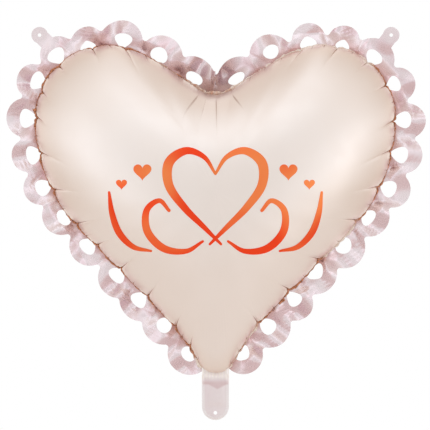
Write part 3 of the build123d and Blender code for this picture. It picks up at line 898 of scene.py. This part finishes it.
# Pen strokes of the right half: x, z and half the width at points along the middle of each
HEART_STROKE = (
    (0, 66, 1.8), (16, 90, 3.4), (42, 99, 5.4), (66, 82, 7), (66, 50, 6.4), (44, 18, 5.2), (16, -10, 3.6),
    (-8, -34, 1.8),
)
SWASH = (
    (18, -30, 1.8), (42, -44, 3.6), (74, -40, 5.4), (97, -16, 5.6), (98, 14, 4.6), (80, 28, 3.4),
    (66, 14, 2.4),
)
PLUME = ((92, -44, 1.6), (118, -38, 3.8), (138, -18, 5.0), (148, 10, 4.2), (152, 40, 1.8))
SMALL_HEARTS = ((104, 70, 26.0), (134, 52, 16.0))  # x, z and width
PRINT_STEP = 1.1
PRINT_GRID = 1.9
PRINT_LIFT = 0.22


def smooth_line(points, count):
    """A centripetal curve through points with a width each, sampled evenly in its parameter."""
    points = np.asarray(points, float)
    padded = np.vstack((2 * points[0] - points[1], points, 2 * points[-1] - points[-2]))
    samples = []
    for t in np.linspace(0, len(points) - 1 - 1e-9, count):
        i = int(t)
        f = t - i
        p0, p1, p2, p3 = padded[i:i + 4]
        samples.append(0.5 * (2 * p1 + (p2 - p0) * f + (2 * p0 - 5 * p1 + 4 * p2 - p3) * f**2
                              + (3 * p1 - p0 - 3 * p2 + p3) * f**3))
    return np.array(samples)


def stroke_loop(points, sign):
    """The outline of a pen stroke with round ends; sign -1 mirrors it to the left."""
    line = smooth_line(points, 26 * len(points))
    middle, half = line[:, :2], line[:, 2:]
    way = np.gradient(middle, axis=0)
    way /= np.hypot(*way.T)[:, None]
    across = np.column_stack((-way[:, 1], way[:, 0]))
    turn = np.linspace(0, pi, 9)[1:-1, None]
    far, near = (
        middle[i] + half[i] * ahead * (np.cos(turn) * across[i] + np.sin(turn) * way[i])
        for i, ahead in ((-1, 1), (0, -1))
    )
    loop = np.vstack((middle + across * half, far, (middle - across * half)[::-1], near))
    return even_loop(loop * (sign, 1), PRINT_STEP)


def heart_loop(x, z, width, sign):
    """The outline of a small heart; sign -1 mirrors it to the left."""
    turn = np.linspace(0, 2 * pi, 61)[:-1]
    height = 13 * np.cos(turn) - 5 * np.cos(2 * turn) - 2 * np.cos(3 * turn) - np.cos(4 * turn)
    shape = np.column_stack((16 * np.sin(turn) ** 3, height)) * width / 32
    return even_loop((shape + (x, z)) * (sign, 1), PRINT_STEP)


def printed(name, loops, tree):
    """Ink shapes laid on the front sheet."""
    points, triangles, first = [], [], 0
    for loop in loops:
        flat, some = fill([loop], PRINT_GRID)
        for x, z in flat:
            hit = tree.ray_cast(Vector((x * MM, -0.3, z * MM)), Vector((0, 1, 0)))[0]
            points.append((x, hit.y / MM - PRINT_LIFT, z))
        triangles.append(some + first)
        first += len(flat)
    return make_object(name, points, np.vstack(triangles))


# ---------------------------------------------------------------- materials


class Nodes:
    """A short way to build a node tree."""

    def __init__(self, tree):
        self.tree = tree

    def put(self, socket, value):
        """Link a socket to another, or set its value."""
        if isinstance(value, bpy.types.NodeSocket):
            self.tree.links.new(value, socket)
        else:
            socket.default_value = value

    def add(self, kind, **inputs):
        node = self.tree.nodes.new(kind)
        for name, value in inputs.items():
            self.put(node.inputs[name.replace("_", " ")], value)
        return node

    def math(self, operation, *values):
        node = self.add("ShaderNodeMath")
        node.operation = operation
        for socket, value in zip(node.inputs, values):
            self.put(socket, value)
        return node.outputs[0]

    def mix(self, share, low, high):
        node = self.add("ShaderNodeMix")
        node.data_type = "RGBA"
        for index, value in ((0, share), (6, low), (7, high)):
            self.put(node.inputs[index], value)
        return node.outputs[2]

    def ramp(self, share, low, high, out_low=0.0, out_high=1.0):
        node = self.add("ShaderNodeMapRange", Value=share, From_Min=low, From_Max=high)
        node.interpolation_type = "SMOOTHSTEP"
        self.put(node.inputs["To Min"], out_low)
        self.put(node.inputs["To Max"], out_high)
        return node.outputs["Result"]

    def noise(self, scale, detail=3.0, roughness=0.5):
        place = self.add("ShaderNodeTexCoord").outputs["Object"]
        node = self.add("ShaderNodeTexNoise", Vector=place, Scale=scale, Detail=detail, Roughness=roughness)
        return node.outputs["Fac"]


class Film(Nodes):
    """A material with one principled shader."""

    def __init__(self, name):
        self.material = bpy.data.materials.new(name)
        self.material.use_nodes = True
        super().__init__(self.material.node_tree)
        self.shader = self.tree.nodes["Principled BSDF"]

    def set(self, **values):
        for name, value in values.items():
            self.put(self.shader.inputs[name.replace("_", " ")], value)

    def attribute(self, name):
        node = self.add("ShaderNodeAttribute")
        node.attribute_name = name
        return node.outputs["Fac"]

    def patches(self, noise, low, high, first, second):
        """Two colours in patches, mixed where the noise lies between low and high."""
        return self.mix(self.ramp(noise, low, high), first, second)

    def bump(self, height, distance, strength=1.0):
        bumped = self.add("ShaderNodeBump", Height=height, Distance=distance, Strength=strength)
        self.set(Normal=bumped.outputs["Normal"])


def rgb(*parts):
    """A colour given in sRGB bytes, as the shader's linear values."""
    share = np.array(parts) / 255
    return (*np.where(share <= 0.04045, share / 12.92, ((share + 0.055) / 1.055) ** 2.4), 1.0)


def pearl_film():
    """Cream pearl on metallised film: satin, with painted shade that makes it warmer towards the seam,
    coppery brown at the weld and brown in the creases.
    """
    m = Film("pearl_film")
    from_seam = m.attribute("from_seam")
    cream = m.patches(m.noise(5.0, 2.0), 0.35, 0.65, rgb(250, 239, 232), rgb(247, 235, 227))
    # painted shade: beige over the 50 mm next to the seam
    edge_shade = m.mix(m.ramp(from_seam, 0.0, 0.05), rgb(246, 230, 219), cream)
    # painted shade: a pale beige to coppery brown rim where the film meets the seam
    weld_shade = m.mix(m.ramp(m.attribute("seam_shade"), 0.3, 0.75), rgb(226, 200, 184), rgb(150, 98, 68))
    rim = m.mix(m.ramp(from_seam, 0.0006, 0.004), weld_shade, edge_shade)
    # painted shade: brown along the creases
    crease_shaded = m.mix(m.ramp(m.attribute("crease_shade"), 0.35, 0.9, 0.0, 0.75), rim, rgb(146, 100, 74))
    satin = m.ramp(m.noise(30.0), 0.3, 0.7, 0.36, 0.42)
    m.set(Base_Color=crease_shaded, Roughness=satin, Metallic=0.88)
    m.set(Coat_Weight=0.12, Coat_Roughness=0.3, Coat_IOR=1.45)
    m.bump(m.noise(900.0, 2.0, 0.6), 0.00005, 0.4)
    return m.material


def seam_film():
    """The welded edge, from cream to coppery brown painted shade by its painted share."""
    m = Film("seam_film")
    spots = m.noise(420.0, 3.0, 0.6)
    # painted shade: coppery brown with darker spots, by the seam's share of it
    seam_shade_colour = m.patches(spots, 0.35, 0.65, rgb(222, 146, 104), rgb(150, 94, 64))
    pale = m.patches(spots, 0.3, 0.7, rgb(250, 238, 228), rgb(232, 208, 192))
    m.set(Base_Color=m.mix(m.ramp(m.attribute("seam_shade"), 0.3, 0.75), pale, seam_shade_colour), Metallic=0.5, Roughness=0.4)
    m.bump(m.noise(700.0), 0.0003, 0.5)
    return m.material


def lace_film():
    """Powder pink pearl film, with brown-pink painted shade where it comes out of the seam, deeper pink
    painted shade where it stands steep or faces down, and brown painted shade at the cleft.
    """
    m = Film("lace_film")
    pink = m.patches(m.noise(14.0, 3.0, 0.55), 0.3, 0.7, rgb(247, 234, 236), rgb(240, 222, 225))
    shade_reach = m.ramp(m.noise(22.0, 2.0), 0.38, 0.62, 0.005, 0.022)  # how far out the brown painted shade reaches
    beyond = m.math("SMOOTH_MIN", m.math("DIVIDE", m.attribute("out"), shade_reach), 1.0, 0.3)
    # painted shade: brown-pink where the lace leaves the seam
    seam_shaded = m.mix(beyond, rgb(200, 146, 137), pink)
    # painted shade: deeper pink where the lace stands steep or faces down
    fold_shaded = m.mix(m.ramp(m.attribute("fold_shade"), 0.15, 0.9, 0.0, 0.55), seam_shaded, rgb(216, 180, 186))
    # painted shade: dark brown at the cleft
    at_cleft = m.mix(m.attribute("cleft"), fold_shaded, rgb(150, 108, 96))
    gloss = m.ramp(m.noise(60.0, 2.0), 0.3, 0.7, 0.24, 0.3)
    m.set(Base_Color=at_cleft, Roughness=gloss, Metallic=0.7, Coat_Weight=0.2, Coat_Roughness=0.2)
    m.bump(m.noise(40.0, 1.0), 0.0002, 0.1)
    return m.material


def tail_film():
    """The tail's pale pink film: whiter at the welds and gathers, with painted highlights on the pleats, and
    painted shade under the overhang.
    """
    m = Film("tail_film")
    pink = m.patches(m.noise(40.0, 3.0, 0.55), 0.3, 0.7, rgb(243, 231, 231), rgb(238, 223, 224))
    welded = m.mix(m.attribute("weld"), pink, rgb(250, 245, 244))
    # painted shade: darker pink under the overhang
    under = m.mix(m.math("MULTIPLY", m.attribute("under"), 0.55), welded, rgb(218, 188, 193))
    # cream at the gathers, with painted highlights on the pleats
    m.set(Base_Color=m.mix(m.attribute("gathered"), under, rgb(248, 238, 228)), Metallic=0.55, Roughness=0.34)
    m.set(Coat_Weight=0.25, Coat_Roughness=0.22)
    m.bump(m.noise(200.0), 0.0003, 0.25)
    return m.material


def print_foil():
    """Orange-red metallic ink."""
    m = Film("print_foil")
    ink = m.patches(m.noise(11.0, 1.0), 0.36, 0.68, rgb(250, 66, 16), rgb(255, 140, 76))
    m.set(Base_Color=ink, Metallic=0.6, Roughness=0.28)
    m.bump(m.noise(500.0, 2.0), 0.0001, 0.3)
    return m.material


def valve_film():
    """Clear soft film with a faint haze."""
    m = Film("valve_film")
    haze = m.noise(120.0)
    m.set(Base_Color=m.patches(haze, 0.3, 0.7, rgb(238, 238, 240), rgb(222, 224, 228)))
    m.set(Roughness=m.ramp(haze, 0.3, 0.7, 0.28, 0.4), Transmission_Weight=0.55, IOR=1.49)
    return m.material


def coating():
    """The valve's matt release coating."""
    m = Film("release_coating")
    speckle = m.patches(m.noise(900.0, 2.0), 0.35, 0.65, rgb(214, 208, 198), rgb(196, 188, 176))
    m.set(Base_Color=speckle, Roughness=0.8)
    return m.material


# ---------------------------------------------------------------- studio


def put_in_scene(data, location, rotation):
    """Make an object of a lamp's or camera's data."""
    made = bpy.data.objects.new(data.name, data)
    made.location, made.rotation_euler = location, rotation
    bpy.context.scene.collection.objects.link(made)
    return made


def area_light(name, location, size, power):
    """A rectangular lamp that faces the balloon's middle."""
    lamp = bpy.data.lights.new(name, "AREA")
    lamp.shape = "RECTANGLE"
    lamp.size, lamp.size_y = size
    lamp.energy = power
    put_in_scene(lamp, location, (-Vector(location)).to_track_quat("-Z", "Y").to_euler())


# What the film reflects: the direction's Y, and linear colours in the upper part of the room and the lower
ROOM = (
    (-1.0, (0.77, 0.77, 0.765), (0.77, 0.77, 0.765)), (-0.93, (0.79, 0.80, 0.81), (0.83, 0.82, 0.81)),
    (-0.77, (1.21, 1.27, 1.34), (0.84, 0.81, 0.78)), (-0.5, (1.08, 1.10, 1.13), (0.80, 0.75, 0.70)),
    (-0.2, (0.96, 0.94, 0.93), (0.72, 0.65, 0.59)), (0.1, (0.93, 0.87, 0.83), (0.67, 0.57, 0.50)),
    (0.5, (0.94, 0.88, 0.84), (0.76, 0.66, 0.60)), (1.0, (0.95, 0.92, 0.9), (0.9, 0.86, 0.84)),
)
ROOM_STRENGTH = 3.0  # the colours above go past 1, which a colour ramp can't hold, so it holds them over this
HORIZON = (-0.55, -0.14)  # direction's Z at which the lower part ends and the upper one is full
CORNER_GAP = (0.09, 0.22)  # size of X times Z at which the upper part starts to fade towards the corners
CORNER_SHARE = 0.2  # what is left of it there


def room_ramp(m, depth, part):
    """The colours of the room's upper part, 1, or lower part, 2, by the direction's Y as depth's 0 to 1."""
    node = m.add("ShaderNodeValToRGB", Fac=depth)
    colours = node.color_ramp
    colours.interpolation = "EASE"
    for i, row in enumerate(ROOM):
        place = (row[0] + 1) / 2
        stop = colours.elements[i] if i < 2 else colours.elements.new(place)
        stop.position = place
        stop.color = (*(value / ROOM_STRENGTH for value in row[part]), 1)
    return node.outputs["Color"]


def world():
    """White for the camera; for everything else a soft room, brighter above and dimmer to the corners."""
    made = bpy.data.worlds.new("studio")
    bpy.context.scene.world = made
    made.use_nodes = True
    m = Nodes(made.node_tree)
    direction = m.add("ShaderNodeTexCoord").outputs["Generated"]
    x, y, z = m.add("ShaderNodeSeparateXYZ", Vector=direction).outputs
    depth = m.math("MULTIPLY_ADD", y, 0.5, 0.5)
    fade = m.ramp(m.math("ABSOLUTE", m.math("MULTIPLY", x, z)), *CORNER_GAP, 1.0, CORNER_SHARE)
    upper = m.math("MULTIPLY", fade, m.ramp(z, *HORIZON))
    room = m.tree.nodes["Background"]
    low, high = room_ramp(m, depth, 2), room_ramp(m, depth, 1)
    m.put(room.inputs["Color"], m.mix(upper, low, high))
    m.put(room.inputs["Strength"], ROOM_STRENGTH)
    white = m.add("ShaderNodeBackground", Color=(1, 1, 1, 1))
    choose = m.add("ShaderNodeMixShader", Fac=m.add("ShaderNodeLightPath").outputs["Is Camera Ray"])
    m.put(choose.inputs[1], room.outputs[0])
    m.put(choose.inputs[2], white.outputs[0])
    m.put(m.tree.nodes["World Output"].inputs["Surface"], choose.outputs[0])


CAMERA_DISTANCE = 4.0
SENSOR_WIDTH = 36.0
VIEW_WIDTH = 0.6265
VIEW_CENTRE = (-0.0006, 0.0076)
FLOOR_RADIUS = 900.0
FLOOR_Z = -480.0


def camera():
    """A long lens in front of the balloon."""
    lens = bpy.data.cameras.new("camera")
    lens.sensor_width = SENSOR_WIDTH
    lens.lens = SENSOR_WIDTH * CAMERA_DISTANCE / VIEW_WIDTH
    lens.clip_end = 50.0
    x, z = VIEW_CENTRE
    bpy.context.scene.camera = put_in_scene(lens, (x, -CAMERA_DISTANCE, z), (pi / 2, 0, 0))


def floor():
    """A pale round floor below the balloon."""
    rim = circle((0, 0), FLOOR_RADIUS, 96)
    points = np.column_stack((rim, np.full(len(rim), FLOOR_Z)))
    made = make_object("studio_floor", points, [range(len(rim))], smooth=False)
    m = Film("studio_floor")
    m.set(Base_Color=m.mix(m.noise(6.0), rgb(246, 246, 245), rgb(250, 250, 249)), Roughness=0.7)
    made.data.materials.append(m.material)


def studio():
    """The room, camera, floor and lamps, with colours shown as they are."""
    bpy.context.scene.view_settings.view_transform = "Standard"
    world()
    camera()
    floor()
    area_light("softbox", (-1.4, -2.4, 1.6), (2.0, 2.0), 0.5)
    area_light("strip", (1.55, -1.2, -0.35), (0.45, 1.3), 0.6)


# ---------------------------------------------------------------- everything


def dress(made, material, slot, *nodes):
    """Give a piece its material and hide the CAD nodes that it stands for; slot is not used."""
    made.data.materials.append(material)
    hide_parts(*nodes)
    return made


def blend_at(made):
    """Bake a sheet's placement into its mesh."""
    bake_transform(made)


def chamber():
    """The two inflated sheets and the seam between them; returns the front sheet."""
    film = pearl_film()
    front = dress(inflated_sheet("front_sheet", -1, 11), film, "pearl_film", "front_film")
    back = dress(inflated_sheet("back_sheet", 1, 12), film, "pearl_film", "back_film")
    weld = dress(seam(), seam_film(), "seam_film", "perimeter_weld")
    for piece in (front, back, weld):
        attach(piece, "envelope")
    return front


def frill():
    """The two halves of the lace, each blended into its hanging tab."""
    film = lace_film()
    for name, scallops, sign, seed in (("right", SCALLOPS_RIGHT, 1, 31), ("left", SCALLOPS_LEFT, -1, 47)):
        made = lace(f"lace_{name}", scallops, sign, seed)
        dress(made, film, "lace_film", f"frill_{name}", f"hang_tab_{name}")
        blend_at(made)


def tail():
    """The tail's two sheets, which also stand for its neck and weld."""
    film = tail_film()
    front_nodes = ("tail_front_film", "tail_neck", "tail_edge_weld")
    for name, side, nodes in (("front", -1, front_nodes), ("back", 1, ("tail_back_film",))):
        made = dress(tail_sheet(f"tail_{name}_sheet", side), film, "tail_film", *nodes)
        blend_at(made)


def scroll(front):
    """The printed heart with its loops, plumes and small hearts, laid on the front sheet."""
    tree = BVHTree.FromObject(front, bpy.context.evaluated_depsgraph_get())
    shapes = {"heart": [stroke_loop(HEART_STROKE, 1), stroke_loop(HEART_STROKE, -1)]}
    for name, sign in (("right", 1), ("left", -1)):
        shapes[f"swash_{name}"] = [stroke_loop(SWASH, sign)]
        shapes[f"plume_{name}"] = [stroke_loop(PLUME, sign)]
        shapes[f"small_hearts_{name}"] = [heart_loop(*heart, sign) for heart in SMALL_HEARTS]
    ink = print_foil()
    for name, loops in shapes.items():
        made = dress(printed(f"ink_{name}", loops, tree), ink, "print_foil", f"print_{name}")
        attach(made, "envelope")


def valve():
    """Materials for the valve's CAD nodes, which keep their own shapes."""
    film = valve_film()
    materials = {"mouth": film, "throat": film, "front_flap": film, "back_flap": film, "coating": coating()}
    for name, material in materials.items():
        mesh = frame["nodes"][f"valve_{name}"].data
        mesh.materials.clear()
        mesh.materials.append(material)


studio()
front_sheet = chamber()
frill()
tail()
scroll(front_sheet)
valve()
